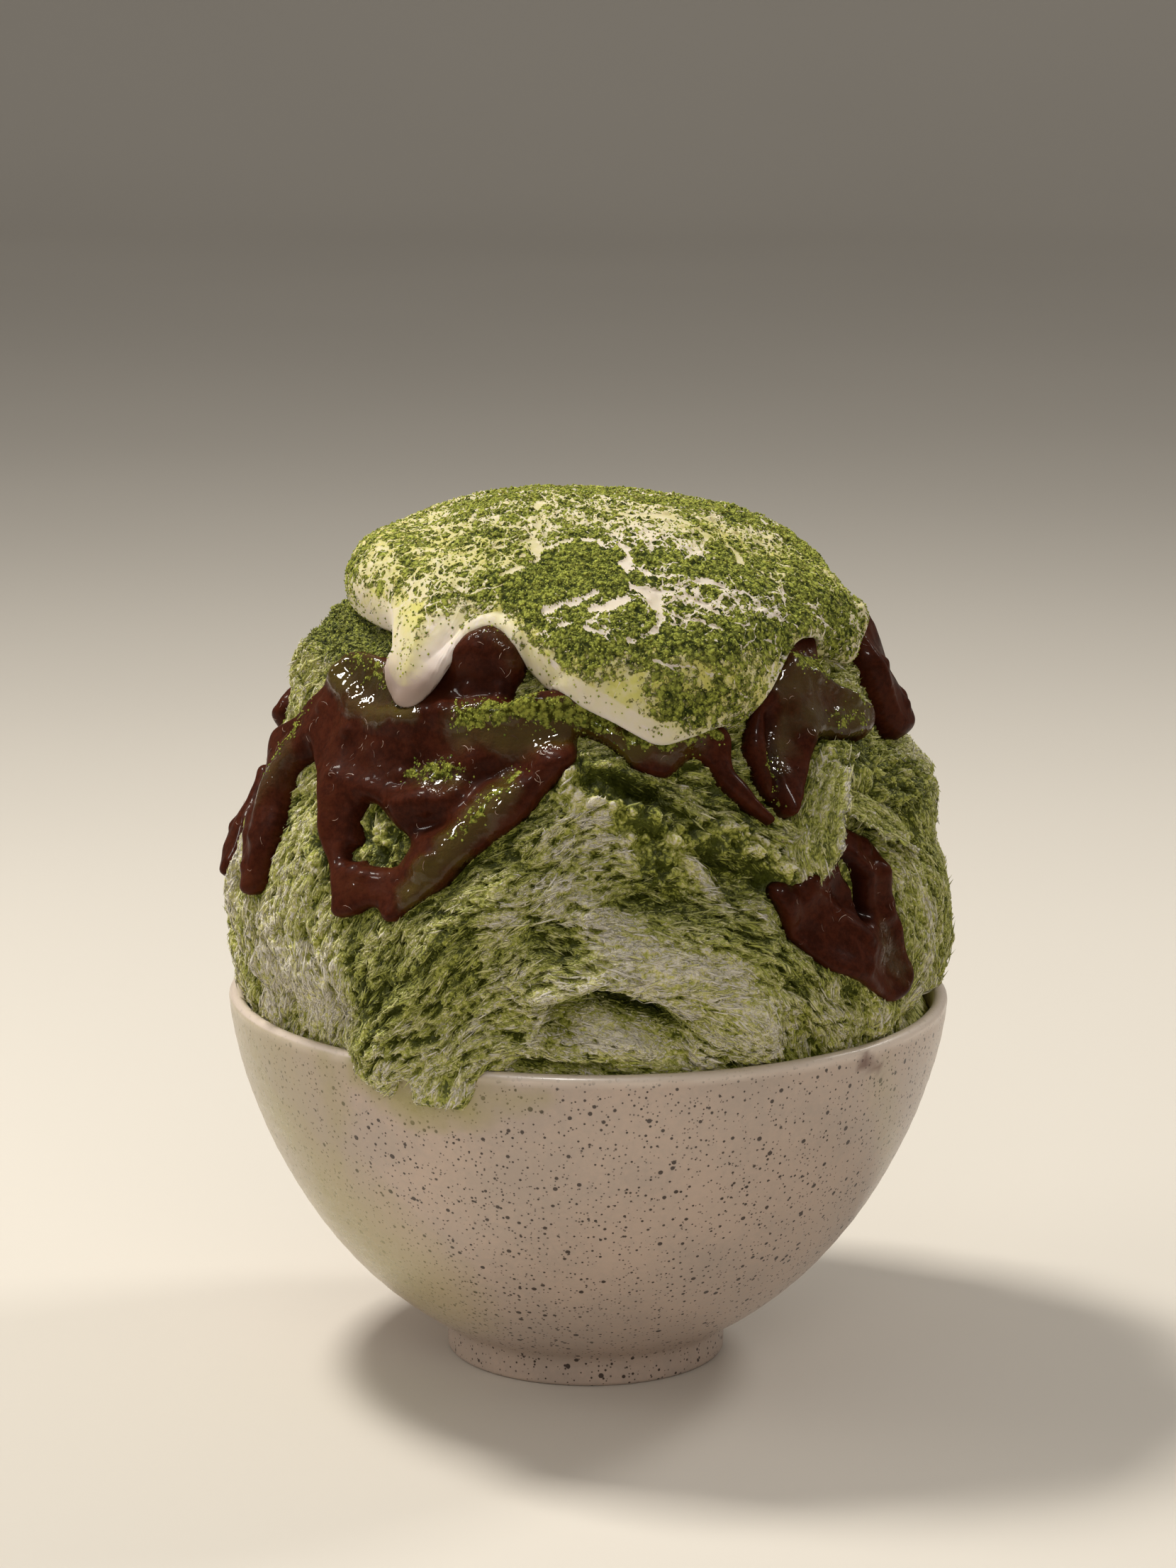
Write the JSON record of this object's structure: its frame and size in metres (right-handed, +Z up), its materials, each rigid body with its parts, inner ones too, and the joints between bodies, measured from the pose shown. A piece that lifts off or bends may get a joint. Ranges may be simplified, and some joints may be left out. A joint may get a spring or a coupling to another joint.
{
  "type": "shaved ice dessert",
  "caption": "Tall mound of green tea shaved ice in a speckled stoneware bowl, with glossy sweet bean paste running down it and a thick cap of powdered whipped cream.",
  "frame": {"origin": "centre of the foot ring's underside, on the bowl's axis", "axes": "+Z up along the bowl's axis, -Y towards the front of the dessert, +X to the right as seen from the front"},
  "size_m": [0.13, 0.1334, 0.1576],
  "materials": {
    "stoneware": "satin pinkish beige glaze with dark brown iron speckles and a paler worn rim",
    "shaved_ice": "wet fine ice shavings soaked with green tea syrup, pale where the syrup is thin",
    "bean_paste": "glossy dark red brown sweet bean paste, dusted with green powder on top",
    "cream": "soft matte whipped cream under cracked green tea powder"
  },
  "bodies": {
    "root": {"bowl": "stoneware", "shaved_ice": "shaved_ice", "bean_paste_left": "bean_paste", "bean_paste_right": "bean_paste", "bean_paste_far_right": "bean_paste", "bean_paste_low_right": "bean_paste", "bean_paste_far_left": "bean_paste", "bean_paste_back_left": "bean_paste", "bean_paste_back_right": "bean_paste", "cream_blanket": "cream"}
  },
  "joints": []
}
